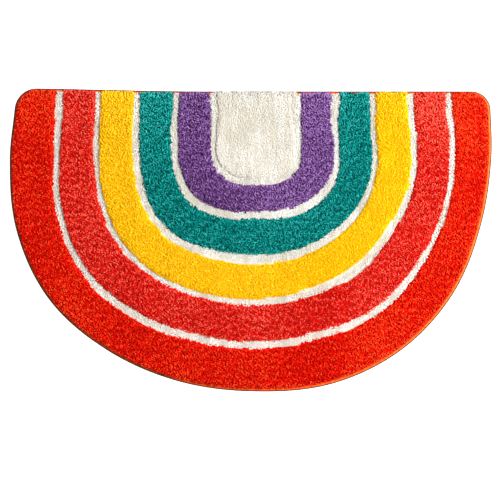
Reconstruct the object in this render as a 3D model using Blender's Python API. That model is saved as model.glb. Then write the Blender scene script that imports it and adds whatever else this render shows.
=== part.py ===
"""Half-moon pile rug with rainbow bands, lying flat.

The rug is one tufted piece: bands of high pile, parted by narrow lines of low cream pile, on a backing cloth
whose thin edge runs out under the pile. A sewn edge binding grips that edge all the way round.
Metres, +Z up. The straight edge faces +Y, and the origin is on the floor under the middle of the rug's box.
"""

from collections import namedtuple

import bmesh
import bpy
import numpy as np

WIDTH = 0.800
DEPTH = 0.503

# Heights above the floor
PILE_HEIGHT = 0.0180
LINE_HEIGHT = 0.0115
PATCH_HEIGHT = 0.0150
PILE_UNDERSIDE = 0.0056
EDGE_CLOTH_TOP = 0.0036
EDGE_CLOTH_BOTTOM = 0.0018

# The pile's surface swells and dips slowly by this much, as the sum of three waves.
LUMP_HEIGHT = 0.0004

# Distances in from the outer edge of the binding
EDGE_CLOTH_INSET = 0.0018
PILE_INSET = 0.0030
WALL_INSET = 0.0054
SOLE_INSET = 0.0060
SHOULDER_INSET = 0.0140

# The bands and lines lie round a hub, which sits this far right of the middle, on the line of the shoulder.
HUB_X = 0.0075

# Distance from the hub to the middle of each cream line, and to the shoulder of the pile, before corners are
# rounded. A row for each station, from the right-hand end of the straight edge, round the curve, to the left.
RADII = (
    # first, second, third, fourth, fifth, shoulder
    (0.068, 0.133, 0.194, 0.257, 0.320, 0.376),
    (0.069, 0.135, 0.201, 0.271, 0.338, 0.391),
    (0.079, 0.155, 0.228, 0.298, 0.364, 0.417),
    (0.101, 0.185, 0.251, 0.315, 0.388, 0.449),
    (0.133, 0.199, 0.262, 0.332, 0.408, 0.471),
    (0.141, 0.200, 0.269, 0.337, 0.409, 0.479),
    (0.140, 0.197, 0.270, 0.341, 0.412, 0.475),
    (0.142, 0.201, 0.270, 0.341, 0.412, 0.475),
    (0.129, 0.201, 0.271, 0.340, 0.412, 0.473),
    (0.098, 0.181, 0.254, 0.327, 0.404, 0.466),
    (0.079, 0.154, 0.226, 0.299, 0.375, 0.441),
    (0.070, 0.138, 0.204, 0.272, 0.340, 0.407),
    (0.070, 0.131, 0.196, 0.260, 0.324, 0.384),
)

# Width of each cream line, with a row for every other station
LINE_WIDTHS = (
    # first, second, third, fourth, fifth
    (0.0150, 0.0140, 0.0095, 0.0100, 0.0100),
    (0.0150, 0.0090, 0.0080, 0.0090, 0.0080),
    (0.0130, 0.0140, 0.0115, 0.0135, 0.0110),
    (0.0110, 0.0110, 0.0140, 0.0100, 0.0115),
    (0.0100, 0.0130, 0.0120, 0.0090, 0.0115),
    (0.0110, 0.0120, 0.0125, 0.0085, 0.0095),
    (0.0110, 0.0105, 0.0090, 0.0085, 0.0110),
)

# Corner radii at the ends of the straight edge, measured along the outer edge of the binding
RIGHT_CORNER = 0.032
LEFT_CORNER = 0.037

# From its left-hand corner the straight edge dips a little, and the dip fades out across the rug.
EDGE_DIP = 0.0054
DIP_START_X = -0.410
DIP_END_X = -0.073
DIP_FADE = 0.152

# The side of a band: distance out from the side of a cream line, and share of the height over the line
BAND_SIDE = ((0.0, 0.0), (0.0025, 0.78), (0.0075, 1.0))
CROWN_RUN = BAND_SIDE[-1][0]
PATCH_SHARE = (PATCH_HEIGHT - LINE_HEIGHT) / (PILE_HEIGHT - LINE_HEIGHT)
CENTRE_ROW = 0.55

# Pile beyond the shoulder: distance in from the outer edge, and share of the pile's height there
RIM_ROWS = ((0.0095, 0.985), (0.0060, 0.930), (0.0038, 0.800), (PILE_INSET, 0.620))

# Section of the binding, which grips the edge of the backing cloth: distance in from the outer edge, and height
BINDING_SECTION = (
    (0.0000, 0.0026),
    (0.0004, 0.0041),
    (0.0015, 0.0051),
    (0.0034, 0.0053),
    (0.0050, 0.0049),
    (0.0050, 0.0039),
    (0.0014, 0.0039),
    (0.0014, 0.0015),
    (0.0050, 0.0015),
    (0.0050, 0.0004),
    (0.0042, 0.0000),
    (0.0016, 0.0000),
    (0.0005, 0.0008),
)

# Angles of the columns of faces at each end of the straight edge, and how many steps lie between the two ends
END_ANGLES = (0.0, 0.15, 0.45, 1.0, 1.8, 2.8, 4.0, 5.4, 7.4)
MIDDLE_STEPS = 50

# Yarns of the bands, from the centre patch out. The lines are of the first yarn too.
YARNS = {
    "cream_yarn": (0.820, 0.760, 0.660),
    "purple_yarn": (0.155, 0.068, 0.225),
    "teal_yarn": (0.010, 0.205, 0.180),
    "yellow_yarn": (0.930, 0.510, 0.010),
    "coral_yarn": (0.730, 0.040, 0.028),
    "orange_yarn": (0.730, 0.022, 0.006),
}
CREAM = 0
BACKING = len(YARNS)
BACKING_COLOUR = (0.620, 0.580, 0.500)
BINDING_COLOUR = (0.800, 0.085, 0.012)
YARN_ROUGHNESS = 0.9
BINDING_ROUGHNESS = 0.7

Row = namedtuple("Row", "radii share slot")


def clear_scene():
    for obj in list(bpy.data.objects):
        bpy.data.objects.remove(obj)


def fabric(name, colour, roughness):
    material = bpy.data.materials.new(name)
    material.use_nodes = True
    shader = material.node_tree.nodes["Principled BSDF"]
    shader.inputs["Base Color"].default_value = (*colour, 1.0)
    shader.inputs["Roughness"].default_value = roughness
    material.diffuse_color = (*colour, 1.0)
    return material


def smoothstep(value):
    value = np.clip(value, 0.0, 1.0)
    return value * value * (3.0 - 2.0 * value)


def read_round(rows, angles):
    """What a table of stations says at these angles, on a smooth curve that is level at both ends."""
    table = np.array(rows)
    table = np.vstack([table[1], table, table[-2]])
    place = angles / 180.0 * (len(rows) - 1)
    start = np.clip(place.astype(int), 0, len(rows) - 2)
    t = (place - start)[:, None]
    before, here, after, beyond = (table[start + k] for k in range(4))
    return here + 0.5 * t * (
        (after - before)
        + t * (2 * before - 5 * here + 4 * after - beyond)
        + t**2 * (3 * here - before - 3 * after + beyond)
    )


def with_round_corners(angles, shoulder):
    """The shoulder's radii, brought in where each end of the straight edge has its round corner."""
    rounded = shoulder.copy()
    for end, outer_corner in ((0.0, RIGHT_CORNER), (180.0, LEFT_CORNER)):
        corner = outer_corner - SHOULDER_INSET
        turn = np.radians(np.abs(angles - end))
        near = (turn < 1.0) & (shoulder * np.sin(turn) <= corner)
        reach = np.max(shoulder[near] * np.cos(turn[near])) - corner
        middle = reach * np.cos(turn[near]) + corner * np.sin(turn[near])
        rounded[near] = middle + np.sqrt(np.maximum(middle**2 - reach**2, 0.0))
    return rounded


def column_angles():
    """Angles of the columns of faces round the hub, close together at the two corners."""
    ends = np.array(END_ANGLES)
    middle = np.linspace(ends[-1], 180.0 - ends[-1], MIDDLE_STEPS + 1)[1:-1]
    return np.concatenate([ends, middle, 180.0 - ends[::-1]])


def pile_rows(lines, widths, shoulder):
    """Rows of the pile's top, from the centre out. A row's slot is the yarn between it and the row before."""
    starts = lines - widths / 2 - CROWN_RUN
    ends = lines + widths / 2 + CROWN_RUN
    rows = [Row(CENTRE_ROW * starts[0], PATCH_SHARE, CREAM)]
    for k, (line, width) in enumerate(zip(lines, widths)):
        crown = PATCH_SHARE if k == CREAM else 1.0
        for run, share in BAND_SIDE[::-1]:
            rows.append(Row(line - width / 2 - run, share * crown, k))
        for run, share in BAND_SIDE:
            rows.append(Row(line + width / 2 + run, share, k + 1 if run else CREAM))
        outer = starts[k + 1] if k + 1 < len(starts) else shoulder
        rows.append(Row(0.5 * (ends[k] + outer), 1.0, k + 1))
    rows.append(Row(shoulder, 1.0, len(lines)))
    return rows


def on_floor(angles, radii):
    """Places in the plane of the rug, from angles in degrees and distances from the hub."""
    x = HUB_X + radii * np.cos(np.radians(angles))
    below_edge = SHOULDER_INSET + radii * np.sin(np.radians(angles))
    along = smoothstep((x - DIP_START_X) / (DIP_END_X - DIP_START_X))
    dip = EDGE_DIP * along * (1.0 - smoothstep(below_edge / DIP_FADE))
    return np.stack([x, -below_edge - dip], axis=-1)


def outward(loop):
    """Unit vectors that point out of a closed loop of places, which runs clockwise seen from above."""
    ahead = np.roll(loop, -1, axis=0) - loop
    length = np.linalg.norm(ahead, axis=1, keepdims=True)
    ahead = ahead / length
    along = ahead * np.roll(length, 1, axis=0) + np.roll(ahead, 1, axis=0) * length
    along /= np.linalg.norm(along, axis=1, keepdims=True)
    return np.stack([-along[:, 1], along[:, 0]], axis=1)


class Plan:
    """The rug seen from above: its hub, the rows of its pile, and the loop of its shoulder."""

    def __init__(self):
        angles = column_angles()
        *lines, shoulder = read_round(RADII, angles).T
        widths = read_round(LINE_WIDTHS, angles).T
        self.rows = pile_rows(np.array(lines), widths, with_round_corners(angles, shoulder))
        places = [on_floor(angles, row.radii) for row in self.rows]
        self.hub, *self.places = self.fitted([on_floor(np.zeros(1), np.zeros(1)), *places])
        right = [row[:1] for row in self.places[:-1]]
        left = [row[-1:] for row in self.places[-2::-1]]
        self.loop = np.concatenate([self.hub, *right, self.places[-1], *left])
        self.ways = outward(self.loop)

    def fitted(self, groups):
        """Moves and stretches places so that the binding's outer edge fills the rug's box."""
        spread = np.concatenate(groups)
        low, high = spread.min(axis=0), spread.max(axis=0)
        target = np.array([WIDTH, DEPTH]) - 2 * SHOULDER_INSET
        return [(group - (low + high) / 2) * target / (high - low) for group in groups]

    def ring(self, inset):
        """The loop that lies this far in from the outer edge of the binding."""
        return self.loop + self.ways * (SHOULDER_INSET - inset)


def pile_height(places, share):
    x, y = places[:, 0], places[:, 1]
    waves = np.sin(41 * x + 23 * y) + np.sin(17 * x - 52 * y + 1.3) + np.sin(95 * x + 1.1)
    return LINE_HEIGHT + (PILE_HEIGHT - LINE_HEIGHT) * share + LUMP_HEIGHT * waves


def add_row(bm, places, heights):
    return [bm.verts.new((x, y, z)) for (x, y), z in zip(places, heights)]


def bridge(bm, inner, outer, slots):
    """Faces between two rows of vertices, with a material slot for each face in turn."""
    for k, slot in enumerate(slots):
        after = (k + 1) % len(inner)
        face = bm.faces.new((inner[k], outer[k], outer[after], inner[after]))
        face.material_index = slot


def add_pile_top(bm, plan):
    """The pile's top as far as the shoulder. Gives the vertices round the shoulder, and a slot for each."""
    hub = add_row(bm, plan.hub, pile_height(plan.hub, PATCH_SHARE))
    tops = [
        add_row(bm, places, pile_height(places, row.share))
        for places, row in zip(plan.places, plan.rows)
    ]
    columns = len(tops[0]) - 1
    for k in range(columns):
        bm.faces.new((hub[0], tops[0][k], tops[0][k + 1])).material_index = CREAM
    for inner, outer, row in zip(tops, tops[1:], plan.rows[1:]):
        bridge(bm, inner, outer, [row.slot] * columns)
    right = [row[0] for row in tops[:-1]]
    left = [row[-1] for row in tops[-2::-1]]
    slots = [row.slot for row in plan.rows]
    return [*hub, *right, *tops[-1], *left], [*slots, *[slots[-1]] * columns, *slots[::-1]]


def add_tufted_rug(bm, plan):
    """The pile with its low cream lines and round rim, and the thin edge of the backing cloth below it."""
    ring, slots = add_pile_top(bm, plan)
    shoulder_heights = np.array([vert.co.z for vert in ring])
    backing = [BACKING] * len(ring)
    rows = [(inset, shoulder_heights * share, slots) for inset, share in RIM_ROWS]
    rows += [
        (PILE_INSET, PILE_UNDERSIDE, slots),
        (WALL_INSET, PILE_UNDERSIDE, slots),
        (WALL_INSET, EDGE_CLOTH_TOP, slots),
        (EDGE_CLOTH_INSET, EDGE_CLOTH_TOP, backing),
        (EDGE_CLOTH_INSET, EDGE_CLOTH_BOTTOM, backing),
        (WALL_INSET, EDGE_CLOTH_BOTTOM, backing),
        (SOLE_INSET, 0.0, backing),
    ]
    for inset, heights, row_slots in rows:
        outer = add_row(bm, plan.ring(inset), np.broadcast_to(heights, len(ring)))
        bridge(bm, ring, outer, row_slots)
        ring = outer
    bm.faces.new(ring).material_index = BACKING


def add_binding(bm, plan):
    """One bent section carried all the way round the edge."""
    rings = [add_row(bm, plan.ring(inset), [z] * len(plan.loop)) for inset, z in BINDING_SECTION]
    for k, ring in enumerate(rings):
        bridge(bm, ring, rings[(k + 1) % len(rings)], [0] * len(ring))


def add_object(name, add_faces, plan, materials, collection):
    mesh = bpy.data.meshes.new(name)
    for material in materials:
        mesh.materials.append(material)
    bm = bmesh.new()
    add_faces(bm, plan)
    bmesh.ops.recalc_face_normals(bm, faces=bm.faces)
    bm.to_mesh(mesh)
    bm.free()
    collection.objects.link(bpy.data.objects.new(name, mesh))


def main():
    clear_scene()
    collection = bpy.data.collections.new("half_moon_rug")
    bpy.context.scene.collection.children.link(collection)
    plan = Plan()
    pile = [fabric(name, colour, YARN_ROUGHNESS) for name, colour in YARNS.items()]
    backing = fabric("backing_cloth", BACKING_COLOUR, YARN_ROUGHNESS)
    binding = fabric("binding_yarn", BINDING_COLOUR, BINDING_ROUGHNESS)
    add_object("tufted_rug", add_tufted_rug, plan, [*pile, backing], collection)
    add_object("edge_binding", add_binding, plan, [binding], collection)


main()
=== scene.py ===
"""Looks of the half-moon rug: cut-pile yarn in rainbow bands, its backing, and the overlocked edge."""

import math

import bpy
import numpy as np
from mathutils.kdtree import KDTree
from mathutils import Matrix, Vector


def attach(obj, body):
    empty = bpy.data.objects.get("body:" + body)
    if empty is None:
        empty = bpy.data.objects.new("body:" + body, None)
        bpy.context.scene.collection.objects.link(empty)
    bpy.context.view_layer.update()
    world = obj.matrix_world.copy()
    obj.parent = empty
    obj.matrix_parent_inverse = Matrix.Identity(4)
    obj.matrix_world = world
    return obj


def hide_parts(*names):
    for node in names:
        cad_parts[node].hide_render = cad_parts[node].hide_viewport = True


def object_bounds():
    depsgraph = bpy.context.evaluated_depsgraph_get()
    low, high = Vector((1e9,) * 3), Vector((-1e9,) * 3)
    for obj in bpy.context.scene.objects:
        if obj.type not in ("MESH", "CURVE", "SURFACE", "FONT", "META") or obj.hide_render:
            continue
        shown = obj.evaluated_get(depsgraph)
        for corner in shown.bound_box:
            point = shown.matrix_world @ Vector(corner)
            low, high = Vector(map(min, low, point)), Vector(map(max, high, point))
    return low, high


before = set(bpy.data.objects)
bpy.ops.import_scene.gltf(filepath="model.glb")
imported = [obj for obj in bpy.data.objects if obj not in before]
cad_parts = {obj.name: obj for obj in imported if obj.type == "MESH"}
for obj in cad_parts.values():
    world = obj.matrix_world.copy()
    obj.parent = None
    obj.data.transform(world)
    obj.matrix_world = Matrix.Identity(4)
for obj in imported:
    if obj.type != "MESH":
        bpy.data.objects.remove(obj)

CAD_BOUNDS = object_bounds()
BODY = "root"

# Sizes in metres. Those of the solid rug are the same here, so that each piece lies where its solid does.
WIDTH, DEPTH = (high - low for low, high in zip(CAD_BOUNDS[0][:2], CAD_BOUNDS[1][:2]))
PILE_HEIGHT = 0.0180
LINE_HEIGHT = 0.0115
PATCH_HEIGHT = 0.0150
SHOULDER_INSET = 0.0140
PILE_INSET = 0.0030
HUB_X = 0.0075
RIGHT_CORNER = 0.032
LEFT_CORNER = 0.037
EDGE_DIP = 0.0054
DIP_START_X = -0.410
DIP_END_X = -0.073
DIP_FADE = 0.152
DIP_ROUNDS = 3

# Swells of the pile's surface: their height, then radians per metre along X and Y and where each wave starts
LUMP_HEIGHT = 0.0004
LUMPS = ((41, 23, 0.0), (17, -52, 1.3), (95, 0, 1.1))

# Distance from the hub to the middle of each cream line, and to the shoulder of the pile, before corners are
# rounded: a row for each station, from the right-hand end of the straight edge round the curve to the left
RADII = (
    # first, second, third, fourth, fifth, shoulder
    (0.068, 0.133, 0.194, 0.257, 0.320, 0.376),
    (0.069, 0.135, 0.201, 0.271, 0.338, 0.391),
    (0.079, 0.155, 0.228, 0.298, 0.364, 0.417),
    (0.101, 0.185, 0.251, 0.315, 0.388, 0.449),
    (0.133, 0.199, 0.262, 0.332, 0.408, 0.471),
    (0.141, 0.200, 0.269, 0.337, 0.409, 0.479),
    (0.140, 0.197, 0.270, 0.341, 0.412, 0.475),
    (0.142, 0.201, 0.270, 0.341, 0.412, 0.475),
    (0.129, 0.201, 0.271, 0.340, 0.412, 0.473),
    (0.098, 0.181, 0.254, 0.327, 0.404, 0.466),
    (0.079, 0.154, 0.226, 0.299, 0.375, 0.441),
    (0.070, 0.138, 0.204, 0.272, 0.340, 0.407),
    (0.070, 0.131, 0.196, 0.260, 0.324, 0.384),
)

# Width of each cream line, with a row for every other station
LINE_WIDTHS = (
    # first, second, third, fourth, fifth
    (0.0150, 0.0140, 0.0095, 0.0100, 0.0100),
    (0.0150, 0.0090, 0.0080, 0.0090, 0.0080),
    (0.0130, 0.0140, 0.0115, 0.0135, 0.0110),
    (0.0110, 0.0110, 0.0140, 0.0100, 0.0115),
    (0.0100, 0.0130, 0.0120, 0.0090, 0.0115),
    (0.0110, 0.0120, 0.0125, 0.0085, 0.0095),
    (0.0110, 0.0105, 0.0090, 0.0085, 0.0110),
)
LINE_COUNT = len(LINE_WIDTHS[0])

# Angles of the outline's places round the hub in degrees: close together at the ends of the straight edge,
# and from, to and how many in between. Then the steps from the hub to each end of the straight edge, and the
# turn in radians within which a round corner ends.
END_ANGLES = (0.0, 0.1, 0.25, 0.45, 0.7, 1.0, 1.4, 1.9, 2.5, 3.2, 4.0, 5.0, 6.0, 7.2)
MIDDLE_ANGLES = (8.5, 171.5, 164)
EDGE_STEPS = 60
CORNER_TURN = 1.0

# The slope of a line is read this many degrees to each side, and as if no nearer to the hub than this.
SLOPE_TURN = 1.0
LEAST_RADIUS = 0.02

# The side of a band: distance out from the side of a cream line, and share of the height over the line
BAND_SIDE = ((0.0, 0.0), (0.0025, 0.78), (0.0075, 1.0))
PATCH_SHARE = (PATCH_HEIGHT - LINE_HEIGHT) / (PILE_HEIGHT - LINE_HEIGHT)

# Pile beyond the shoulder: distance in from the outer edge, and share of the pile's height there
RIM = (
    (0.0004, 0.50),
    (PILE_INSET, 0.72),
    (0.0038, 0.80),
    (0.0060, 0.93),
    (0.0095, 0.985),
    (SHOULDER_INSET, 1.0),
)

# Tufts of pile: three sides between a ring of places at the root and one at the shoulder, and a blunt tip
TUFT_SIDES = 3
TUFT_PLACES = 2 * TUFT_SIDES + 1
TUFT_PITCH = 0.0023
TUFT_UNEVEN = 0.28
TUFT_RADIUS = 0.00092
TUFT_CAP = 0.0013
THICKNESSES = {"cream": 1.8, "purple": 1.0, "teal": 1.0, "yellow": 1.1, "coral": 1.0, "orange": 1.0}
THICKNESS_CHANCE = (0.8, 1.2)
ROOT_THINNER = 0.9
ROOT_SUNK = 0.0012
LEAST_LENGTH = 0.0030

# By how much tufts differ in height. Those of a band are no lower than the pile is this far from its line.
LINE_HEIGHT_CHANCE = 0.0005
PATCH_HEIGHT_CHANCE = 0.0003
HEIGHT_CHANCE = 0.0010
LEAST_FROM_LINE = 0.0008

# How far the border of a line wanders, and the shares of short swells, long swells and single tufts in it
BORDER_WANDER = 0.0009
BORDER_SHARES = (0.7, 0.8, 0.15)

# The way that the pile lies over, how far swells and single tufts turn from it, and how far cut ends swing
PILE_LEAN = math.radians(115)
PATCH_LEAN = math.radians(93)
LEAN_SWELL = 0.9
LEAN_CHANCE = 0.6
PATCH_TURN_SHARE = 0.4
LINE_SWING = 0.0016
PATCH_SWING = 0.0040
PILE_SWING = 0.0048
SWING_CHANCE = (0.4, 1.3)

# How far the tufts of a band splay over the line beside them, and those of the rim over the edge
LINE_SPLAY = 0.0030
LINE_SPLAY_REACH = 0.004
RIM_SPLAY = 0.0045
RIM_SPLAY_CURVE = 1.5

# On its left the patch parts from the line round it, and the tufts beside the parting are darker with
# painted shade in the crease.
PARTING = 0.0026
PARTING_TURN = 1.6
PARTING_RAGGED = 0.0003
PARTING_SHADE = 0.0013
PARTING_PAINTED_SHADE = 0.7

# How far in from the outer edge the pile ends, for each way out in degrees from +X. It lies over to the
# upper left, so that more of the binding shows on the right. At the end of a line the binding is bare.
RIM_REACH = (
    (-180.0, 0.0044), (-135.0, 0.0047), (-90.0, 0.0049), (-45.0, 0.0050),
    (0.0, 0.0050), (45.0, 0.0034), (90.0, 0.0015), (135.0, 0.0030), (180.0, 0.0044),
)
LINE_SHORTFALL = 0.0030

# The pile's end is uneven, and more so where the way out is towards the straight edge.
RIM_UNEVEN = 0.0006
STRAIGHT_UNEVEN = 1.5
STRAIGHT_WAY = 0.9

# Tufts that stick out sideways at the rim: their heights, and by how much they shift along the edge, end
# further in, slant and differ in height. This share of their height stays the same where the pile is lower.
RIM_LEVELS = (0.0068, 0.0086, 0.0104)
RIM_EVERY = 2
RIM_SHIFT_CHANCE = 0.0007
RIM_END_CHANCE = (0.0002, 0.0005)
RIM_SLANT_CHANCE = 0.0012
RIM_LEVEL_CHANCE = 0.0005
RIM_LEVEL_SHARE = 0.45
RIM_ROOT_DEPTH = 0.0008
RIM_ROOT_RISE = 0.0008
RIM_ROOT_TOP = 0.0085

# Ground of packed roots that the tufts rise from: its share of the pile's height in the patch and in each
# band, how much more for each metre right of the middle, and its share in the lines and the parting
ROOT_SHARES = (0.91, 0.70, 0.70, 0.80, 0.70, 0.72)
FULLER_RIGHT = 0.16
LINE_ROOT_SHARE = 0.82

# The ground beyond the shoulder: distance in from the outer edge, and share of the ground's height there
GROUND_RIM = ((0.0110, 0.97), (0.0082, 0.86), (0.0057, 0.56))
ROOT_INSET = GROUND_RIM[-1][0] + 0.0006

# Rings of the ground: the first and the second as shares of the way from the hub to the shoulder, and how
# many from the second out. Every other place of the outline is used.
GROUND_CENTRE = 0.02
GROUND_SECOND = 0.05
GROUND_RINGS = 76
GROUND_EVERY = 2
GROUND_OVER_CLOTH = 0.0001

# Backing cloth: its edge inside the binding and its step down to the sole, as distance in and height
CLOTH_TOP = 0.0034
CLOTH_UNDERSIDE = 0.0020
CLOTH_SOLE = 0.0002
CLOTH_SECTION = (
    (0.0019, CLOTH_TOP),
    (0.0018, CLOTH_UNDERSIDE),
    (0.0054, CLOTH_UNDERSIDE),
    (0.0060, CLOTH_SOLE),
)
WEAVE_REPEAT = 0.0042

# Binding: its section as distance in from the outer edge, height, and how light its yarn is there, a painted
# shade that darkens its outer face and underside
BINDING_SECTION = (
    (0.0000, 0.0026, 0.00),
    (0.0003, 0.0039, 0.00),
    (0.0010, 0.0047, 0.00),
    (0.0018, 0.0052, 0.18),
    (0.0026, 0.0054, 1.00),
    (0.0036, 0.0053, 1.00),
    (0.0046, 0.0049, 0.80),
    (0.0051, 0.0042, 0.30),
    (0.0015, 0.0039, 0.00),
    (0.0014, 0.0016, 0.00),
    (0.0051, 0.0014, 0.30),
    (0.0046, 0.0005, 0.60),
    (0.0030, 0.0002, 0.60),
    (0.0014, 0.0003, 0.40),
    (0.0004, 0.0011, 0.10),
)

# The two points of the section that lie against the cloth's edge, where the wraps are flat
FLAT_POINTS = (8, 9)

# Wraps of yarn: how far apart, in how many steps, how high, round, slanted and unlike each other, how light
# the painted shade leaves the valleys between them, and the middle and the chance of their tones
WRAP_PITCH = 0.0024
WRAP_STEPS = 4
WRAP_RELIEF = 0.00025
WRAP_CURVE = 0.7
WRAP_SLANT = 0.6
WRAP_CHANCE = (0.75, 1.25)
WRAP_VALLEY = 0.4
WRAP_TONE = (0.5, 0.10)

# Painted light: how much lighter the binding is as the way out turns to the right, towards the lamp, and to
# the straight edge
BINDING_PAINTED_LIGHT = (0.37, 0.06)

# Colours of the yarns: at the root, a painted shade deep in the pile, along the tuft, and where its cut end
# catches the light, a painted highlight
YARNS = {
    "cream": ((0.450, 0.415, 0.355), (0.415, 0.384, 0.326), (0.600, 0.605, 0.585)),
    "purple": ((0.026, 0.004, 0.042), (0.220, 0.092, 0.305), (0.415, 0.232, 0.520)),
    "teal": ((0.000, 0.028, 0.026), (0.003, 0.278, 0.248), (0.045, 0.500, 0.452)),
    "yellow": ((0.570, 0.285, 0.000), (0.780, 0.442, 0.003), (0.900, 0.580, 0.055)),
    "coral": ((0.400, 0.000, 0.000), (0.735, 0.023, 0.013), (0.815, 0.140, 0.092)),
    "orange": ((0.400, 0.000, 0.000), (0.725, 0.010, 0.002), (0.830, 0.090, 0.019)),
}

# The ground between the tufts takes the root colour, a painted shade, and its tone darkens it further.
# Between the cream tufts it is a little lighter than their roots.
GROUND_ROOTS = {"cream": (0.470, 0.425, 0.355)}
GROUND_TONE = 0.3
GROUND_GRAIN = 700.0

# Binding yarn: the dark root colour is painted shade, on the outer face, underside and valleys and on the
# side away from the lamp; then the yarn, and a painted highlight where the binding is lit.
BINDING_COLOURS = ((0.045, 0.010, 0.004), (0.680, 0.075, 0.010), (0.930, 0.205, 0.032))
BINDING_CONTRAST = 1.2
CLOTH_COLOURS = ((0.42, 0.37, 0.29), (0.66, 0.61, 0.52))

# How strongly each yarn shows the tones of its tufts, and how far light soaks through it and softens shades
CONTRASTS = {"cream": 1.0, "purple": 1.2, "teal": 1.05, "yellow": 0.6, "coral": 1.7, "orange": 1.45}
SOFTNESS = {"cream": 0.30, "purple": 0.0, "teal": 0.0, "yellow": 0.3, "coral": 0.2, "orange": 0.2}

# Tones run from 0 to 1. By how much tufts differ, of their own, with their clump and in slow swells
MIDDLE_TONE = 0.5
TONE_CHANCE = 0.24
CREAM_TONE_CHANCE = 0.04
OWN_SHARE = 0.65
CLUMP_SHARE = 1.05
TONE_SWELL = 0.03
LONG_TONE_SWELL = 0.08

# Clumps are longer in the way that the pile lies.
CLUMP_STRETCH = 0.30

# Cream tufts are lighter by this, with streaks that run away from the straight edge, and darker at the rim
# with painted shade.
# Those of the lines have a middle and a chance of their own besides.
CREAM_LIGHTER = 0.12
CREAM_RIM_PAINTED_SHADE = -0.10
LINE_TONE = (0.08, 0.09)
STREAK = 0.09
STREAK_STRETCH = (1.0, 0.15)
FINE_STREAK = 0.10
FINE_STREAK_STRETCH = (1.0, 0.12)

# The coloured pile is paler near the straight edge, and duller with each metre away from it.
PALER_END = 0.09
PALER_REACH = 0.11
DULLER = 0.16

# How much lighter coloured tufts are right at the rim, painted light on the right towards the lamp and
# painted shade on the left, and how much they differ, for the way out along X
RIM_PAINTED_LIGHT = ((-1.0, -0.20), (-0.5, -0.35), (0.0, 0.0), (1.0, 0.80))
RIM_TONE_CHANCES = ((-1.0, 0.85), (0.0, 0.75), (1.0, 0.45))

# Slow unevenness of each kind: the size of its swells, its seed, and how many waves it adds up
SWELLS = {
    "border": (0.006, 3, 9),
    "long border": (0.020, 4, 9),
    "lean": (0.022, 5, 9),
    "clump": (0.0019, 8, 30),
    "tone": (0.012, 9, 9),
    "long tone": (0.090, 10, 9),
    "streak": (0.010, 12, 9),
    "fine streak": (0.0045, 13, 9),
    "rim": (0.007, 21, 9),
}
SWELL_SPREAD = (1.2, 3.2)

# How far up its yarn the root, shoulder and tip of a tuft are, for the colour, painted shade towards the
# root, and for the fibres
TUFT_ALONG = (0.0, 0.82, 1.0)
FIBRES_ALONG = (0.0, 1.0, 1.2)
FIBRE_SHIFT = 60

# The same for the binding: fibres across a wrap, how long they are, and how far they shift from wrap to wrap
WRAP_FIBRES = 3.0
WRAP_FIBRE_LENGTH = 0.002
WRAP_FIBRE_SHIFT = 7.0

# Where a tuft's faces lie in its cell of the bake's map
CELL_MARGIN = 0.06
CELL_ROOT = 0.12
CELL_SHOULDER = 0.66
CELL_TIP = 0.96
CELL_SOLE = (0.75, CELL_ROOT, 0.25, CELL_ROOT, 0.5, 0.02)

# Rows of the binding on the bake's map, and the margin in each
MAP_ROWS = 24
MAP_MARGIN = 0.04

# Sockets of a mix node for each kind of data: its factor, its two inputs and its output
MIX_SOCKETS = {"RGBA": (0, 6, 7, 2), "VECTOR": (0, 4, 5, 1)}

# View of the rug: metres across the picture, and where its middle lies
PICTURE_WIDTH = 0.8307
PICTURE_CENTRE = (-0.0013, -0.0166)
CAMERA_HEIGHT = 3.0
SENSOR_WIDTH = 36.0
VIEW_DEPTH = 50.0

# Floor, soft light from all round, and one lamp to the right
FLOOR_SIZE = 12.0
FLOOR_COLOUR = (0.35, 0.35, 0.35, 1.0)
FLOOR_ROUGHNESS = 0.95
SKY_COLOUR = (0.97, 0.99, 1.0, 1.0)
SKY_STRENGTH = 1.07
LAMP_PLACE = (2.1, 0.15, 2.6)
LAMP_SIZE = 0.6
LAMP_POWER = 226.0

RNG = np.random.default_rng(11)


def smoothstep(value):
    """Eases in and out from 0 to 1."""
    value = np.clip(value, 0.0, 1.0)
    return value * value * (3.0 - 2.0 * value)


def lengths(vectors):
    return np.linalg.norm(vectors, axis=-1, keepdims=True)


def read_pairs(pairs, values):
    """What a table of pairs says at these values, straight between its rows."""
    return np.interp(values, *zip(*pairs))


def drift(places, kind):
    """Slow unevenness of this kind, between about -1 and 1."""
    size, seed, waves = SWELLS[kind]
    rng = np.random.default_rng(seed)
    total = np.zeros(len(places))
    for _ in range(waves):
        turn, start = rng.uniform(0, 2 * math.pi, 2)
        pace = 2 * math.pi / (size * rng.uniform(*SWELL_SPREAD))
        along = places[:, 0] * math.cos(turn) + places[:, 1] * math.sin(turn)
        total += np.sin(along * pace + start)
    return total / math.sqrt(waves)


def read_round(rows, angles):
    """What a table of stations says at these angles, on a smooth curve that is level at both ends."""
    table = np.array(rows)
    table = np.vstack([table[1], table, table[-2]])
    place = angles / 180.0 * (len(rows) - 1)
    start = np.clip(place.astype(int), 0, len(rows) - 2)
    t = (place - start)[:, None]
    before, here, after, beyond = (table[start + k] for k in range(4))
    return here + 0.5 * t * (
        (after - before)
        + t * (2 * before - 5 * here + 4 * after - beyond)
        + t**2 * (3 * here - before - 3 * after + beyond)
    )


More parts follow.
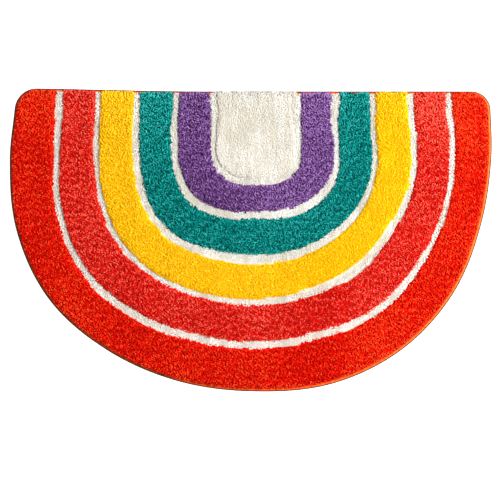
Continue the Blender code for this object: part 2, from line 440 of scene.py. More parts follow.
def with_round_corners(angles, shoulder):
    """The shoulder's radii, brought in where each end of the straight edge has its round corner."""
    rounded = shoulder.copy()
    for end, outer_corner in ((0.0, RIGHT_CORNER), (180.0, LEFT_CORNER)):
        corner = outer_corner - SHOULDER_INSET
        turn = np.radians(np.abs(angles - end))
        near = (turn < CORNER_TURN) & (shoulder * np.sin(turn) <= corner)
        reach = np.max(shoulder[near] * np.cos(turn[near])) - corner
        middle = reach * np.cos(turn[near]) + corner * np.sin(turn[near])
        rounded[near] = middle + np.sqrt(np.maximum(middle**2 - reach**2, 0.0))
    return rounded


def edge_dip(x, below_edge):
    """How far the straight edge and the pile near it dip here."""
    along = smoothstep((x - DIP_START_X) / (DIP_END_X - DIP_START_X))
    return EDGE_DIP * along * (1.0 - smoothstep(below_edge / DIP_FADE))


def on_floor(angles, radii):
    """Places in the plane of the rug, from angles in degrees and distances from the hub."""
    x = HUB_X + radii * np.cos(np.radians(angles))
    below_edge = SHOULDER_INSET + radii * np.sin(np.radians(angles))
    return np.stack([x, -below_edge - edge_dip(x, below_edge)], axis=-1)


def outward(loop):
    """Unit vectors that point out of a closed loop of places, which runs clockwise seen from above."""
    ahead = np.roll(loop, -1, axis=0) - loop
    gap = lengths(ahead)
    ahead = ahead / gap
    along = ahead * np.roll(gap, 1, axis=0) + np.roll(ahead, 1, axis=0) * gap
    along /= lengths(along)
    return np.stack([-along[:, 1], along[:, 0]], axis=1)


def run_round(loop):
    """The loop with its first place again at the end, and how far along it each place is."""
    closed = np.vstack([loop, loop[:1]])
    return closed, np.concatenate([[0.0], np.cumsum(lengths(np.diff(closed, axis=0)))])


def read_along(at, run, values):
    """What values along a run are at these distances."""
    return np.stack([np.interp(at, run, values[:, k]) for k in range(2)], axis=1)


class Plan:
    """The rug seen from above: its edge, and the bands and lines that a place on it belongs to."""

    step = 0.0015

    def __init__(self):
        ends = np.array(END_ANGLES)
        angles = np.concatenate([ends, np.linspace(*MIDDLE_ANGLES), 180.0 - ends[::-1]])
        shoulder = with_round_corners(angles, read_round(RADII, angles)[:, -1])
        right = np.linspace(0.0, shoulder[0], EDGE_STEPS)[:-1]
        left = np.linspace(shoulder[-1], 0.0, EDGE_STEPS)[1:-1]
        loop = np.concatenate([
            on_floor(np.zeros(len(right)), right),
            on_floor(angles, shoulder),
            on_floor(np.full(len(left), 180.0), left),
        ])
        low, high = loop.min(axis=0), loop.max(axis=0)
        self.middle = (low + high) / 2
        self.stretch = (np.array([WIDTH, DEPTH]) - 2 * SHOULDER_INSET) / (high - low)
        self.shoulder = self.evenly_spaced((loop - self.middle) * self.stretch)
        self.ways = outward(self.shoulder)
        self.tree = KDTree(len(self.shoulder))
        for k, (x, y) in enumerate(self.ring(0.0)):
            self.tree.insert((x, y, 0.0), k)
        self.tree.balance()

    def evenly_spaced(self, loop):
        """The same loop with its places at an even step, from the hub round."""
        closed, run = run_round(loop)
        count = round(run[-1] / self.step)
        return read_along(np.arange(count) * run[-1] / count, run, closed)

    def ring(self, inset):
        """The loop that lies this far in from the outer edge of the binding."""
        return self.shoulder + self.ways * (SHOULDER_INSET - np.reshape(inset, (-1, 1)))

    def edge_at(self, places):
        """For each place, how far it is in from the outer edge, and the way out."""
        nearest = [self.tree.find((x, y, 0.0)) for x, y in places]
        index = np.array([found[1] for found in nearest])
        edge = np.array([found[0][:2] for found in nearest])
        ways = self.ways[index]
        return np.sum((edge - places) * ways, axis=1), ways

    def round_hub(self, places):
        """Angles in degrees and distances from the hub, as the tables have them."""
        x, y = (places / self.stretch + self.middle).T
        below_edge = -y
        for _ in range(DIP_ROUNDS):
            below_edge = -y - edge_dip(x, below_edge)
        up = np.maximum(below_edge - SHOULDER_INSET, 0.0)
        return np.degrees(np.arctan2(up, x - HUB_X)), np.hypot(up, x - HUB_X)

    def bands_at(self, places):
        """For each place: its band, its distance from the nearest line's side, and the way to that line."""
        angles, radii = self.round_hub(places)
        lines = read_round(RADII, angles)[:, :LINE_COUNT]
        widths = read_round(LINE_WIDTHS, angles)
        past = radii[:, None] - lines
        gaps = np.abs(past) - widths / 2
        nearest = np.argmin(gaps, axis=1)
        row = np.arange(len(places))
        ahead = read_round(RADII, np.clip(angles + SLOPE_TURN, 0.0, 180.0))[row, nearest]
        behind = read_round(RADII, np.clip(angles - SLOPE_TURN, 0.0, 180.0))[row, nearest]
        turn = np.radians(angles)
        slope = (ahead - behind) / np.radians(2 * SLOPE_TURN) / np.maximum(radii, LEAST_RADIUS)
        way = np.stack([np.cos(turn) + slope * np.sin(turn), -np.sin(turn) + slope * np.cos(turn)], axis=1)
        way *= -np.sign(past[row, nearest])[:, None] / lengths(way)
        return np.sum(past > 0, axis=1), gaps[row, nearest], way


def rim_inset(places, ways, low, band):
    """How far in from the outer edge the pile ends, near these places, where the way out is this."""
    uneven = RIM_UNEVEN * drift(places, "rim") * np.where(ways[:, 1] > STRAIGHT_WAY, STRAIGHT_UNEVEN, 1.0)
    reach = read_pairs(RIM_REACH, np.degrees(np.arctan2(ways[:, 1], ways[:, 0])))
    return reach + uneven + np.where(low & (band > 0), LINE_SHORTFALL, 0.0)


def ground_height(places, band, from_line, inset):
    """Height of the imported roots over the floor."""
    fuller = FULLER_RIGHT * np.maximum(places[:, 0], 0)
    share = np.array(ROOT_SHARES)[band] + np.where(band > 0, fuller, 0.0)
    share = np.where(from_line < PARTING * (band == 0), LINE_ROOT_SHARE, share)
    return share * pile_height(places, band, from_line, inset)


def pile_height(places, band, from_line, inset):
    """Height of the pile's surface over the floor."""
    x, y = places[:, 0], places[:, 1]
    share = read_pairs(BAND_SIDE, from_line) * np.where(band == 0, PATCH_SHARE, 1.0)
    waves = sum(np.sin(across * x + along * y + start) for across, along, start in LUMPS)
    height = LINE_HEIGHT + (PILE_HEIGHT - LINE_HEIGHT) * share + LUMP_HEIGHT * waves
    return height * read_pairs(RIM, inset)


# Meshes


def new_piece(name, places, face_groups, materials, slots=None):
    """An object from arrays of places and faces. The faces of a group have equally many corners."""
    mesh = bpy.data.meshes.new(name)
    corners = np.concatenate([group.ravel() for group in face_groups])
    sizes = np.concatenate([np.full(len(group), group.shape[1]) for group in face_groups])
    mesh.vertices.add(len(places))
    mesh.vertices.foreach_set("co", np.ascontiguousarray(places, np.float32).ravel())
    mesh.loops.add(len(corners))
    mesh.polygons.add(len(sizes))
    mesh.polygons.foreach_set("loop_start", (np.cumsum(sizes) - sizes).astype(np.int32))
    mesh.polygons.foreach_set("vertices", corners.astype(np.int32))
    for material in materials:
        mesh.materials.append(material)
    if slots is not None:
        mesh.polygons.foreach_set("material_index", np.asarray(slots, np.int32))
    mesh.update(calc_edges=True)
    mesh.shade_smooth()
    piece = bpy.data.objects.new(name, mesh)
    bpy.context.scene.collection.objects.link(piece)
    return piece


def add_values(piece, name, values):
    field = piece.data.attributes.new(name, "FLOAT", "POINT")
    field.data.foreach_set("value", np.ascontiguousarray(values, np.float32))


def add_vectors(piece, name, vectors):
    field = piece.data.attributes.new(name, "FLOAT_VECTOR", "POINT")
    field.data.foreach_set("vector", np.ascontiguousarray(vectors, np.float32).ravel())


def add_map(piece, corners):
    """Lays the piece out on the bake's map, corner by corner."""
    layer = piece.data.uv_layers.new(name="OFBake")
    layer.uv.foreach_set("vector", np.ascontiguousarray(corners, np.float32).ravel())


def loft(count, rings):
    """Quads between closed rings of equally many places, numbered ring by ring."""
    index = np.arange(count)
    after = (index + 1) % count
    quad = np.stack([index, index + count, after + count, after], axis=1)
    return np.concatenate([quad + k * count for k in range(rings - 1)])


# Tufts


def tuft_corners():
    """Corner numbers of one tuft: its sides, the faces of its cut end, and its root."""
    n = TUFT_SIDES
    sides = [(k, (k + 1) % n, n + (k + 1) % n, n + k) for k in range(n)]
    caps = [(n + k, n + (k + 1) % n, 2 * n) for k in range(n)]
    return np.array(sides), np.array([*caps, (2, 1, 0)])


def tuft_map(tone):
    """A cell of the bake's map for each tuft, in the order of their tones."""
    count = len(tone)
    across = math.ceil(math.sqrt(count))
    order = np.empty(count, int)
    order[np.argsort(tone, kind="stable")] = np.arange(count)
    row, column = np.divmod(order, across)
    left = [CELL_MARGIN + (1 - 2 * CELL_MARGIN) * k / TUFT_SIDES for k in range(TUFT_SIDES + 1)]
    sides, caps = [], []
    for start, end in zip(left, left[1:]):
        sides.append((start, CELL_ROOT, end, CELL_ROOT, end, CELL_SHOULDER, start, CELL_SHOULDER))
        caps.append((start, CELL_SHOULDER, end, CELL_SHOULDER, (start + end) / 2, CELL_TIP))

    def placed(cells):
        cells = np.array(cells).reshape(1, -1, 2)
        cells = np.broadcast_to(cells, (count, *cells.shape[1:])).copy()
        odd = row % 2 == 1
        cells[odd, :, 1] = 1.0 - cells[odd, :, 1]
        cells[:, :, 0] += column[:, None]
        cells[:, :, 1] += row[:, None]
        return cells.reshape(-1, 2) / across

    return np.concatenate([placed(sides), placed([*caps, CELL_SOLE])])


def tuft_piece(name, roots, tips, tone, material, thickness):
    """One mesh of three-sided tufts, each with a blunt cut end."""
    count = len(roots)
    axis = tips - roots
    axis = axis / lengths(axis)
    first = np.cross(axis, (0.0, 1.0, 0.0))
    first /= lengths(first)
    second = np.cross(axis, first)
    radius = TUFT_RADIUS * thickness * RNG.uniform(*THICKNESS_CHANCE, (count, 1))
    cap = TUFT_CAP / thickness**2
    twist = RNG.uniform(0, 2 * math.pi, (count, 1))
    shift = RNG.uniform(0, FIBRE_SHIFT, count)
    places = np.empty((count, TUFT_PLACES, 3))
    fibre = np.empty((count, TUFT_PLACES, 3))
    for k in range(TUFT_SIDES):
        side = 2 * math.pi * k / TUFT_SIDES
        spoke = first * np.cos(twist + side) + second * np.sin(twist + side)
        places[:, k] = roots + spoke * radius * ROOT_THINNER
        places[:, TUFT_SIDES + k] = tips - axis * cap + spoke * radius
        for ring in range(2):
            fibre[:, ring * TUFT_SIDES + k, :2] = math.cos(side), math.sin(side)
            fibre[:, ring * TUFT_SIDES + k, 2] = FIBRES_ALONG[ring] + shift
    places[:, -1] = tips
    fibre[:, -1, :2] = 0.0
    fibre[:, -1, 2] = FIBRES_ALONG[2] + shift
    start = np.arange(count)[:, None, None] * TUFT_PLACES
    sides, caps = tuft_corners()
    groups = [(start + sides).reshape(-1, 4), (start + caps).reshape(-1, 3)]
    piece = new_piece(name, places.reshape(-1, 3), groups, [material])
    add_values(piece, "tone", np.repeat(tone, TUFT_PLACES))
    add_values(piece, "along", np.tile(np.repeat(TUFT_ALONG, (TUFT_SIDES, TUFT_SIDES, 1)), count))
    add_vectors(piece, "fibre", fibre.reshape(-1, 3))
    add_map(piece, tuft_map(tone))
    return piece


def tuft_grid(plan):
    """Places for the cut ends of the tufts, on an uneven grid."""
    row_gap = TUFT_PITCH * math.sqrt(3) / 2
    rows = np.arange(-DEPTH / 2, DEPTH / 2, row_gap)
    columns = np.arange(-WIDTH / 2, WIDTH / 2, TUFT_PITCH)
    x, y = np.meshgrid(columns, rows)
    x = x + (np.arange(len(rows))[:, None] % 2) * TUFT_PITCH / 2
    places = np.stack([x.ravel(), y.ravel()], axis=1)
    places += RNG.normal(0, TUFT_UNEVEN * TUFT_PITCH, places.shape)
    inset, ways = plan.edge_at(places)
    inside = inset > 0
    return places[inside], inset[inside], ways[inside]


def in_lines(tips, from_line):
    """Which tufts belong to the low lines, whose borders wander."""
    short, long, own = BORDER_SHARES
    wander = short * drift(tips, "border") + long * drift(tips, "long border")
    wander += RNG.normal(0, own, len(tips))
    return from_line + BORDER_WANDER * wander < 0


def tuft_leans(tips, low, patch, from_line, to_line):
    """How far each tuft's cut end lies from straight over its root, apart from the splay at the rim."""
    turn = LEAN_SWELL * drift(tips, "lean") + RNG.normal(0, LEAN_CHANCE, len(tips))
    turn = np.where(patch, PATCH_LEAN + PATCH_TURN_SHARE * turn, PILE_LEAN + turn)
    swing = np.where(low, LINE_SWING, np.where(patch, PATCH_SWING, PILE_SWING))
    swing = swing * RNG.uniform(*SWING_CHANCE, len(tips))
    lean = np.stack([np.cos(turn), np.sin(turn)], axis=1) * swing[:, None]
    splay = np.where(low, 0.0, LINE_SPLAY * np.exp(-np.maximum(from_line, 0) / LINE_SPLAY_REACH))
    return lean + to_line * splay[:, None]


def rim_painted_light_and_tone(ways):
    """How much lighter each tuft is right at the rim, where the way out is this: painted light on the right,
    painted shade on the left, with a spread.
    """
    return RNG.normal(read_pairs(RIM_PAINTED_LIGHT, ways[:, 0]), read_pairs(RIM_TONE_CHANCES, ways[:, 0]))


def tuft_tones_and_painted_light(tips, low, patch, at_rim, ways):
    """How much lighter each tuft is than the middle of its yarn, for the place where it stands, with painted
    light and shade at the rim.
    """
    # Cream tufts at the rim get painted shade; coloured tufts there get painted light on the right and
    # painted shade on the left.
    paler = at_rim * np.where(low | patch, CREAM_RIM_PAINTED_SHADE, rim_painted_light_and_tone(ways))
    paler += np.where(low, RNG.normal(*LINE_TONE, len(tips)), 0.0)
    streaks = STREAK * drift(tips * STREAK_STRETCH, "streak")
    streaks += FINE_STREAK * drift(tips * FINE_STREAK_STRETCH, "fine streak")
    paler += np.where(patch | low, CREAM_LIGHTER + streaks, 0.0)
    below_edge = -tips[:, 1] + DEPTH / 2
    edge_gradient = PALER_END * (1 - smoothstep(below_edge / PALER_REACH)) - DULLER * below_edge
    return paler + np.where(low | patch, 0.0, edge_gradient)


def pile_tufts(plan):
    """Roots, tips, yarns and tones of the tufts on top of the pile."""
    tips, inset, ways = tuft_grid(plan)
    band, from_line, to_line = plan.bands_at(tips)
    low = in_lines(tips, from_line)
    patch = band == 0
    at_rim = 1 - np.clip(inset / SHOULDER_INSET, 0, 1)
    lean = tuft_leans(tips, low, patch, from_line, to_line)
    lean += ways * (RIM_SPLAY * at_rim**RIM_SPLAY_CURVE)[:, None]
    roots = tips - lean
    root_inset, root_ways = plan.edge_at(roots)
    roots -= root_ways * np.maximum(ROOT_INSET - root_inset, 0)[:, None]
    root_inset = np.maximum(root_inset, ROOT_INSET)
    height = pile_height(tips, band, np.where(low, 0.0, np.maximum(from_line, LEAST_FROM_LINE)), inset)
    chance = np.where(low, LINE_HEIGHT_CHANCE, np.where(patch, PATCH_HEIGHT_CHANCE, HEIGHT_CHANCE))
    height += np.clip(RNG.normal(0, chance), -2 * chance, 2 * chance)
    ground = ground_height(roots, *plan.bands_at(roots)[:2], root_inset) - ROOT_SUNK
    ground = np.minimum(ground, height - LEAST_LENGTH)
    paler = tuft_tones_and_painted_light(tips, low, patch, at_rim, ways)
    left = np.clip(-to_line[:, 0] * PARTING_TURN, 0, 1) * patch
    ragged = from_line + RNG.normal(0, PARTING_RAGGED, len(tips))
    # Painted shade in the crease: tufts beside the parting on the patch's left are made darker.
    beside_parting = (ragged > 0) & (ragged < PARTING + PARTING_SHADE)
    paler -= np.where(beside_parting, PARTING_PAINTED_SHADE * left, 0.0)
    kept = (ragged > PARTING * left) | (from_line < 0) | (band > 0)
    kept &= inset > rim_inset(tips, ways, low, band)
    found = with_heights(roots, ground), with_heights(tips, height), np.where(low, 0, band), paler
    return tuple(values[kept] for values in found)


def with_heights(places, heights):
    return np.column_stack([places, heights])


def rim_tufts(plan):
    """Roots, tips, yarns and tones of the tufts that stick out sideways at the rim."""
    ways = plan.ways[::RIM_EVERY]
    along = np.stack([ways[:, 1], -ways[:, 0]], axis=1)
    count = len(ways)
    found = []
    for level in RIM_LEVELS:
        shoulder = plan.shoulder[::RIM_EVERY] + along * RNG.normal(0, RIM_SHIFT_CHANCE, (count, 1))
        band, from_line, _ = plan.bands_at(shoulder)
        low = from_line < 0
        local = pile_height(shoulder, band, from_line, np.full(count, SHOULDER_INSET)) / PILE_HEIGHT
        inset = rim_inset(shoulder, ways, low, band) + RNG.normal(*RIM_END_CHANCE, count)
        tip = shoulder + ways * (SHOULDER_INSET - inset)[:, None]
        tip += along * RNG.normal(0, RIM_SLANT_CHANCE, (count, 1))
        root = shoulder + ways * (SHOULDER_INSET - GROUND_RIM[-1][0] - RIM_ROOT_DEPTH)
        height = level + RNG.normal(0, RIM_LEVEL_CHANCE, count)
        height *= RIM_LEVEL_SHARE + (1 - RIM_LEVEL_SHARE) * local
        root = with_heights(root, np.minimum(height + RIM_ROOT_RISE, RIM_ROOT_TOP))
        found.append((root, with_heights(tip, height), np.where(low, 0, band), rim_painted_light_and_tone(ways)))
    return tuple(np.concatenate(values) for values in zip(*found))


def tone_of(tips, paler, chance):
    """How light each tuft's yarn is, from 0 to 1: by chance, with its clump, in slow swells and by place."""
    places = tips[:, :2]
    lain = np.array([math.cos(PILE_LEAN), math.sin(PILE_LEAN)])
    along, across = places @ lain, places @ np.array([-lain[1], lain[0]])
    clump = drift(np.stack([along * CLUMP_STRETCH, across], axis=1), "clump")
    slow = TONE_SWELL * drift(places, "tone") + LONG_TONE_SWELL * drift(places, "long tone")
    own = RNG.normal(0, OWN_SHARE, len(tips)) + CLUMP_SHARE * clump
    return np.clip(MIDDLE_TONE + chance * own + slow + paler, 0, 1)


# Materials


def new_group(name, inputs, output):
    """An empty node group. Inputs are (kind, name, default), and output is (kind, name)."""
    group = bpy.data.node_groups.new(name, "ShaderNodeTree")
    for kind, title, default in inputs:
        socket = group.interface.new_socket(title, in_out="INPUT", socket_type=f"NodeSocket{kind}")
        socket.default_value = default
    group.interface.new_socket(output[1], in_out="OUTPUT", socket_type=f"NodeSocket{output[0]}")
    return group, group.nodes.new("NodeGroupInput"), group.nodes.new("NodeGroupOutput")


def mixed(tree, factor, first, second, kind="RGBA"):
    """A mix of two colours or directions. The factor and both are sockets or plain values."""
    node = tree.nodes.new("ShaderNodeMix")
    node.data_type = kind
    *inputs, output = MIX_SOCKETS[kind]
    for index, value in zip(inputs, (factor, first, second)):
        feed(tree, node.inputs[index], value)
    return node.outputs[output]


def feed(tree, socket, value):
    """Links a socket to this one, or sets it to a plain value."""
    if isinstance(value, bpy.types.NodeSocket):
        tree.links.new(value, socket)
    elif isinstance(value, tuple) and socket.type == "RGBA":
        socket.default_value = (*value, 1.0)
    else:
        socket.default_value = value


def ranged(tree, value, low, high, start=0.0, end=1.0):
    node = tree.nodes.new("ShaderNodeMapRange")
    for socket, given in zip(node.inputs, (value, low, high, start, end)):
        feed(tree, socket, given)
    return node.outputs[0]


def calculated(tree, operation, *values):
    node = tree.nodes.new("ShaderNodeMath")
    node.operation = operation
    for socket, value in zip(node.inputs, values):
        feed(tree, socket, value)
    return node.outputs[0]


def yarn_colour_group():
    """Colour of yarn from root to cut end: painted shade towards the root, painted highlight on light tufts'
    cut ends. Tone makes one tuft lighter than the next.
    """
    group, given, out = new_group("Yarn colour", (
        ("Color", "Root", (0.1, 0.1, 0.1, 1.0)),
        ("Color", "Yarn", (0.5, 0.5, 0.5, 1.0)),
        ("Color", "Cut end", (0.9, 0.9, 0.9, 1.0)),
        ("Float", "Tone", MIDDLE_TONE),
        ("Float", "Along", 1.0),
        ("Float", "Contrast", 1.0),
    ), ("Color", "Colour"))
    root, yarn, cut_end, tone, along, contrast = list(given.outputs)[:6]
    body = mixed(group, ranged(group, along, low=0.05, high=0.75), root, yarn)
    spread = calculated(group, "SUBTRACT", tone, MIDDLE_TONE)
    spread = calculated(group, "MULTIPLY", spread, contrast)
    body = mixed(group, ranged(group, spread, low=0.0, high=-MIDDLE_TONE, end=0.75), body, root)
    light = ranged(group, spread, low=0.0, high=MIDDLE_TONE, end=0.9)
    light = calculated(group, "MULTIPLY", light, ranged(group, along, low=0.3, high=0.9))
    group.links.new(mixed(group, light, body, cut_end), out.inputs[0])
    return group


def fibre_group():
    """Height of the fine fibres that run along a strand of yarn."""
    group, given, out = new_group("Yarn fibres", (
        ("Vector", "Place", (0.0, 0.0, 0.0)),
        ("Float", "Fineness", 3.0),
        ("Float", "Length", 0.6),
    ), ("Float", "Height"))
    stretch = group.nodes.new("ShaderNodeCombineXYZ")
    for socket, name in zip(stretch.inputs, ("Fineness", "Fineness", "Length")):
        group.links.new(given.outputs[name], socket)
    scaled = group.nodes.new("ShaderNodeVectorMath")
    scaled.operation = "MULTIPLY"
    group.links.new(given.outputs["Place"], scaled.inputs[0])
    group.links.new(stretch.outputs[0], scaled.inputs[1])
    noise = group.nodes.new("ShaderNodeTexNoise")
    noise.inputs["Scale"].default_value = 1.0
    noise.inputs["Detail"].default_value = 2.0
    group.links.new(scaled.outputs[0], noise.inputs["Vector"])
    group.links.new(noise.outputs["Fac"], out.inputs[0])
    return group


def softness_group():
    """The surface's direction, turned part of the way up, since light soaks through soft yarn."""
    inputs = (("Float", "Softness", 0.2),)
    group, given, out = new_group("Soft yarn direction", inputs, ("Vector", "Direction"))
    up = group.nodes.new("ShaderNodeVectorTransform")
    up.vector_type = "NORMAL"
    up.convert_from = "OBJECT"
    up.convert_to = "WORLD"
    up.inputs[0].default_value = (0.0, 0.0, 1.0)
    own = group.nodes.new("ShaderNodeNewGeometry").outputs["Normal"]
    turned = mixed(group, given.outputs["Softness"], own, up.outputs[0], "VECTOR")
    unit = group.nodes.new("ShaderNodeVectorMath")
    unit.operation = "NORMALIZE"
    group.links.new(turned, unit.inputs[0])
    group.links.new(unit.outputs[0], out.inputs[0])
    return group


def new_material(name, roughness, sheen=0.0):
    """A dull material with its node tree and its shader."""
    material = bpy.data.materials.new(name)
    material.use_nodes = True
    shader = material.node_tree.nodes["Principled BSDF"]
    shader.inputs["Roughness"].default_value = roughness
    shader.inputs["Specular IOR Level"].default_value = 0.04
    shader.inputs["Sheen Weight"].default_value = sheen
    shader.inputs["Sheen Roughness"].default_value = 0.5
    return material, material.node_tree, shader


def attribute(tree, name, output="Fac"):
    node = tree.nodes.new("ShaderNodeAttribute")
    node.attribute_name = name
    return node.outputs[output]


def place_group(tree, group, **values):
    node = tree.nodes.new("ShaderNodeGroup")
    node.node_tree = group
    for name, value in values.items():
        feed(tree, node.inputs[name.replace("_", " ")], value)
    return node.outputs[0]


def raise_bump(tree, shader, height, strength, distance, direction=None):
    """Makes this height show in the shades, on the surface's own direction or on a given one."""
    bump = tree.nodes.new("ShaderNodeBump")
    if direction is not None:
        tree.links.new(direction, bump.inputs["Normal"])
    bump.inputs["Strength"].default_value = strength
    bump.inputs["Distance"].default_value = distance
    tree.links.new(height, bump.inputs["Height"])
    tree.links.new(bump.outputs["Normal"], shader.inputs["Normal"])


def yarn_material(name, colours, groups, contrast, softness=0.0):
    """Soft yarn, for tufts and for the binding's wraps."""
    material, tree, shader = new_material(name, roughness=0.85)
    root, yarn, cut_end = colours
    colour = place_group(
        tree, groups["colour"], Root=root, Yarn=yarn, Cut_end=cut_end,
        Tone=attribute(tree, "tone"), Along=attribute(tree, "along"), Contrast=contrast,
    )
    tree.links.new(colour, shader.inputs["Base Color"])
    height = place_group(tree, groups["fibre"], Place=attribute(tree, "fibre", "Vector"))
    rough = ranged(tree, height, low=0.3, high=0.7, start=0.75, end=0.95)
    tree.links.new(rough, shader.inputs["Roughness"])
    direction = place_group(tree, groups["softness"], Softness=softness)
    raise_bump(tree, shader, height, strength=0.5, distance=0.0003, direction=direction)
    return material


def ground_material(name, colours, groups):
    """Packed roots of the same yarn, seen only between tufts, mostly in the root colour's painted shade."""
    material, tree, shader = new_material(name, roughness=0.95)
    place = tree.nodes.new("ShaderNodeTexCoord").outputs["Object"]
    height = place_group(tree, groups["fibre"], Place=place, Fineness=GROUND_GRAIN, Length=GROUND_GRAIN)
    root, yarn, cut_end = colours
    along = ranged(tree, height, low=0.3, high=0.7, end=0.45)
    colour = place_group(
        tree, groups["colour"], Root=root, Yarn=yarn, Cut_end=cut_end, Tone=GROUND_TONE, Along=along,
    )
    tree.links.new(colour, shader.inputs["Base Color"])
    raise_bump(tree, shader, height, strength=1.0, distance=0.001)
    return material


def cloth_material():
    """Plain woven backing cloth: threads over and under, a little uneven."""
    material, tree, shader = new_material("backing_cloth", roughness=0.9, sheen=0.1)
    place = tree.nodes.new("ShaderNodeTexCoord").outputs["Object"]
    split = tree.nodes.new("ShaderNodeSeparateXYZ")
    tree.links.new(place, split.inputs[0])
    pace = 2 * math.pi / WEAVE_REPEAT
    phases = [calculated(tree, "MULTIPLY", split.outputs[axis], pace) for axis in (0, 1)]
    waves = [calculated(tree, "SINE", phase) for phase in phases]
    over = ranged(tree, calculated(tree, "MULTIPLY", *waves), low=-1.0, high=1.0)
    noise = tree.nodes.new("ShaderNodeTexNoise")
    noise.inputs["Scale"].default_value = 260.0
    tree.links.new(place, noise.inputs["Vector"])
    height = calculated(tree, "ADD", over, noise.outputs["Fac"])
    # The colour follows the weave's height: darker where it is lower, painted shade in its hollows.
    colour = mixed(tree, ranged(tree, height, low=0.3, high=1.5), *CLOTH_COLOURS)
    tree.links.new(colour, shader.inputs["Base Color"])
    rough = ranged(tree, height, low=0.3, high=1.5, start=0.98, end=0.8)
    tree.links.new(rough, shader.inputs["Roughness"])
    raise_bump(tree, shader, height, strength=0.8, distance=0.0005)
    return material


# Pieces


def make_pile(plan, groups):
    """A piece of tufts for each yarn. The rim's own orange tufts are a piece apart."""
    roots, tips, yarns, paler = pile_tufts(plan)
    rim_roots, rim_tips, rim_yarns, rim_paler = rim_tufts(plan)
    orange = len(YARNS) - 1
    at_rim = (yarns == orange) & (plan.edge_at(tips[:, :2])[0] < SHOULDER_INSET)
    pieces = []
    for number, (name, colours) in enumerate(YARNS.items()):
        material = yarn_material(f"{name}_yarn", colours, groups, CONTRASTS[name], SOFTNESS[name])
        chance = CREAM_TONE_CHANCE if name == "cream" else TONE_CHANCE
        top, side = (yarns == number) & ~at_rim, rim_yarns == number
        tops = (roots[top], tips[top], paler[top])
        sides = (rim_roots[side], rim_tips[side], rim_paler[side])
        sets = {f"{name}_pile": (tops, sides)}
        if number == orange:
            edge = (roots[at_rim], tips[at_rim], paler[at_rim])
            sets = {"orange_pile": (tops,), "orange_rim_pile": (edge, sides)}
        for title, groups_of_tufts in sets.items():
            all_roots, all_tips, all_paler = (np.concatenate(values) for values in zip(*groups_of_tufts))
            tone = tone_of(all_tips, all_paler, chance)
            piece = tuft_piece(title, all_roots, all_tips, tone, material, THICKNESSES[name])
            pieces.append(piece)
    return pieces


def make_ground(plan, groups):
    """The ground of packed roots under the tufts, on the backing cloth."""
    shoulder = plan.shoulder[::GROUND_EVERY]
    count = len(shoulder)
    hub = (np.array([HUB_X, -SHOULDER_INSET - edge_dip(HUB_X, SHOULDER_INSET)]) - plan.middle) * plan.stretch
    rings = []
    for share in (GROUND_CENTRE, *np.linspace(GROUND_SECOND, 1.0, GROUND_RINGS)):
        places = hub + (shoulder - hub) * share
        inset, _ = plan.edge_at(places)
        height = ground_height(places, *plan.bands_at(places)[:2], np.maximum(inset, SHOULDER_INSET))
        rings.append(with_heights(places, height))
    last = rings[-1][:, 2]
    for inset, share in GROUND_RIM:
        rings.append(with_heights(plan.ring(inset)[::GROUND_EVERY], last * share))
    foot = plan.ring(GROUND_RIM[-1][0])[::GROUND_EVERY]
    rings.append(with_heights(foot, np.full(count, CLOTH_TOP + GROUND_OVER_CLOTH)))
    places = np.concatenate(rings)
    quads = loft(count, len(rings))
    index = np.arange(count)
    fan = np.stack([np.full(count, len(places)), index, (index + 1) % count], axis=1)
    sole = (len(rings) - 1) * count + index
    places = np.vstack([places, [*hub, ROOT_SHARES[0] * PATCH_HEIGHT]])
    middles = places[quads].mean(axis=1)[:, :2]
    band, from_line, _ = plan.bands_at(middles)
    slots = np.concatenate([np.where(from_line < 0, 0, band), np.zeros(count + 1, int)])
    materials = [
        ground_material(f"{name}_roots", (GROUND_ROOTS.get(name, colours[0]), *colours[1:]), groups)
        for name, colours in YARNS.items()
    ]
    piece = new_piece("pile_ground", places, [quads, fan, sole[None, ::-1]], materials, slots)
    return piece


def make_cloth(plan):
    """The backing cloth, whose edge runs out into the binding."""
    count = len(plan.shoulder)
    rings = [with_heights(plan.ring(inset), np.full(count, height)) for inset, height in CLOTH_SECTION]
    index = np.arange(count)
    ends = np.stack([index, (index + (len(rings) - 1) * count)[::-1]])
    faces = [loft(count, len(rings)), ends]
    piece = new_piece("backing_cloth", np.concatenate(rings), faces, [cloth_material()])
    return piece


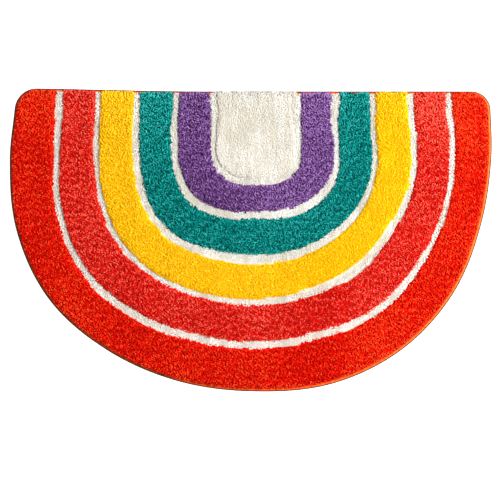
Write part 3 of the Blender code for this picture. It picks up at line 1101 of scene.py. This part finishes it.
def make_binding(plan, groups):
    """The binding: yarn sewn over and over the edge, each wrap a ridge with a slight slant."""
    closed, run = run_round(plan.shoulder)
    wraps = round(run[-1] / WRAP_PITCH)
    count = wraps * WRAP_STEPS
    at = np.arange(count) / count * run[-1]
    shoulder = read_along(at, run, closed)
    ways = read_along(at, run, np.vstack([plan.ways, plan.ways[:1]]))
    ways /= lengths(ways)
    section = np.array(BINDING_SECTION)[:, :2]
    shades = np.array(BINDING_SECTION)[:, 2]
    ahead = np.roll(section, -1, axis=0) - np.roll(section, 1, axis=0)
    proud = np.stack([ahead[:, 1], -ahead[:, 0]], axis=1) / lengths(ahead)
    girth = np.concatenate([[0.0], np.cumsum(lengths(np.diff(section, axis=0)))])
    thread = RNG.uniform(*WRAP_CHANCE, wraps)
    # The tone carries painted light: lighter where the binding faces right towards the lamp.
    tone = np.clip(RNG.normal(*WRAP_TONE, wraps) + ways[::WRAP_STEPS] @ np.array(BINDING_PAINTED_LIGHT), 0, 1)
    rings, tones, heights, fibre = [], [], [], []
    for point, ((inset, height), shade, way, around) in enumerate(zip(section, shades, proud, girth)):
        phase = np.arange(count) / WRAP_STEPS + WRAP_SLANT * around / girth[-1]
        wrap = np.floor(phase).astype(int) % wraps
        ridge = np.sin(math.pi * (phase % 1.0)) ** WRAP_CURVE
        relief = np.zeros(count) if point in FLAT_POINTS else WRAP_RELIEF * ridge * thread[wrap]
        places = shoulder + ways * (SHOULDER_INSET - inset + way[0] * relief)[:, None]
        level = np.maximum(height + way[1] * relief, CLOTH_SOLE)
        rings.append(with_heights(places, level))
        tones.append(tone[wrap])
        # The share kept for the colour is painted shade, darker on the outer face, underside and valleys
        # between wraps.
        heights.append(shade * (WRAP_VALLEY + (1 - WRAP_VALLEY) * ridge))
        strand = around / WRAP_FIBRE_LENGTH + wrap * WRAP_FIBRE_SHIFT
        fibre.append(np.stack([phase * WRAP_FIBRES, np.zeros(count), strand], axis=1))
    quads = loft(count, len(section) + 1) % (count * len(section))
    material = yarn_material("binding_yarn", BINDING_COLOURS, groups, BINDING_CONTRAST)
    piece = new_piece("edge_binding_yarn", np.concatenate(rings), [quads[:, ::-1]], [material])
    add_values(piece, "tone", np.concatenate(tones))
    add_values(piece, "along", np.concatenate(heights))
    add_vectors(piece, "fibre", np.concatenate(fibre))
    add_map(piece, binding_map(count, len(section)))
    return piece


def binding_map(count, points):
    """The binding laid out in rows on the bake's map, one stretch of the edge under another."""
    per_row = math.ceil(count / MAP_ROWS)
    row, place = np.divmod(np.arange(count), per_row)
    left, right = place / per_row, (place + 1) / per_row
    levels = [(row + MAP_MARGIN + (1 - 2 * MAP_MARGIN) * k / points) / MAP_ROWS for k in range(points + 1)]
    corners = []
    for low, high in zip(levels, levels[1:]):
        quad = np.stack([left, low, left, high, right, high, right, low], axis=1).reshape(count, 4, 2)
        corners.append(quad[:, ::-1])
    return np.concatenate(corners)


# Setting


def make_floor():
    """A floor that is plain white to the camera, yet throws little light on the edge of the rug."""
    bpy.ops.mesh.primitive_plane_add(size=FLOOR_SIZE, location=(0.0, 0.0, 0.0))
    floor = bpy.context.object
    floor.name = "floor"
    material = bpy.data.materials.new("floor_white")
    material.use_nodes = True
    tree = material.node_tree
    shader = tree.nodes["Principled BSDF"]
    shader.inputs["Base Color"].default_value = FLOOR_COLOUR
    shader.inputs["Roughness"].default_value = FLOOR_ROUGHNESS
    shader.inputs["Emission Strength"].default_value = 1.0
    seen = tree.nodes.new("ShaderNodeLightPath").outputs["Is Camera Ray"]
    tree.links.new(mixed(tree, seen, (0.0, 0.0, 0.0), (1.0, 1.0, 1.0)), shader.inputs["Emission Color"])
    floor.data.materials.append(material)


def add_lamp():
    """A square soft light that faces the middle of the rug."""
    data = bpy.data.lights.new("key", "AREA")
    data.size = LAMP_SIZE
    data.energy = LAMP_POWER
    lamp = bpy.data.objects.new("key", data)
    lamp.location = LAMP_PLACE
    lamp.rotation_euler = (-lamp.location).to_track_quat("-Z", "Y").to_euler()
    bpy.context.scene.collection.objects.link(lamp)


def light_scene():
    """Soft light from all round, and the lamp."""
    world = bpy.data.worlds.new("studio")
    world.use_nodes = True
    background = world.node_tree.nodes["Background"]
    background.inputs["Color"].default_value = SKY_COLOUR
    background.inputs["Strength"].default_value = SKY_STRENGTH
    bpy.context.scene.world = world
    add_lamp()
    bpy.context.scene.view_settings.view_transform = "Standard"


def add_camera():
    """The camera, straight over the rug."""
    data = bpy.data.cameras.new("camera")
    data.sensor_width = SENSOR_WIDTH
    data.lens = SENSOR_WIDTH * CAMERA_HEIGHT / PICTURE_WIDTH
    data.clip_end = VIEW_DEPTH
    camera = bpy.data.objects.new("camera", data)
    camera.location = (*PICTURE_CENTRE, CAMERA_HEIGHT)
    bpy.context.scene.collection.objects.link(camera)
    bpy.context.scene.camera = camera


def main():
    add_camera()
    light_scene()
    make_floor()
    plan = Plan()
    groups = {"colour": yarn_colour_group(), "fibre": fibre_group(), "softness": softness_group()}
    pile = [make_ground(plan, groups), *make_pile(plan, groups)]
    cloth = make_cloth(plan)
    binding = make_binding(plan, groups)
    for piece in (*pile, cloth, binding):
        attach(piece, BODY)
    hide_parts("tufted_rug")
    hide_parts("edge_binding")


main()
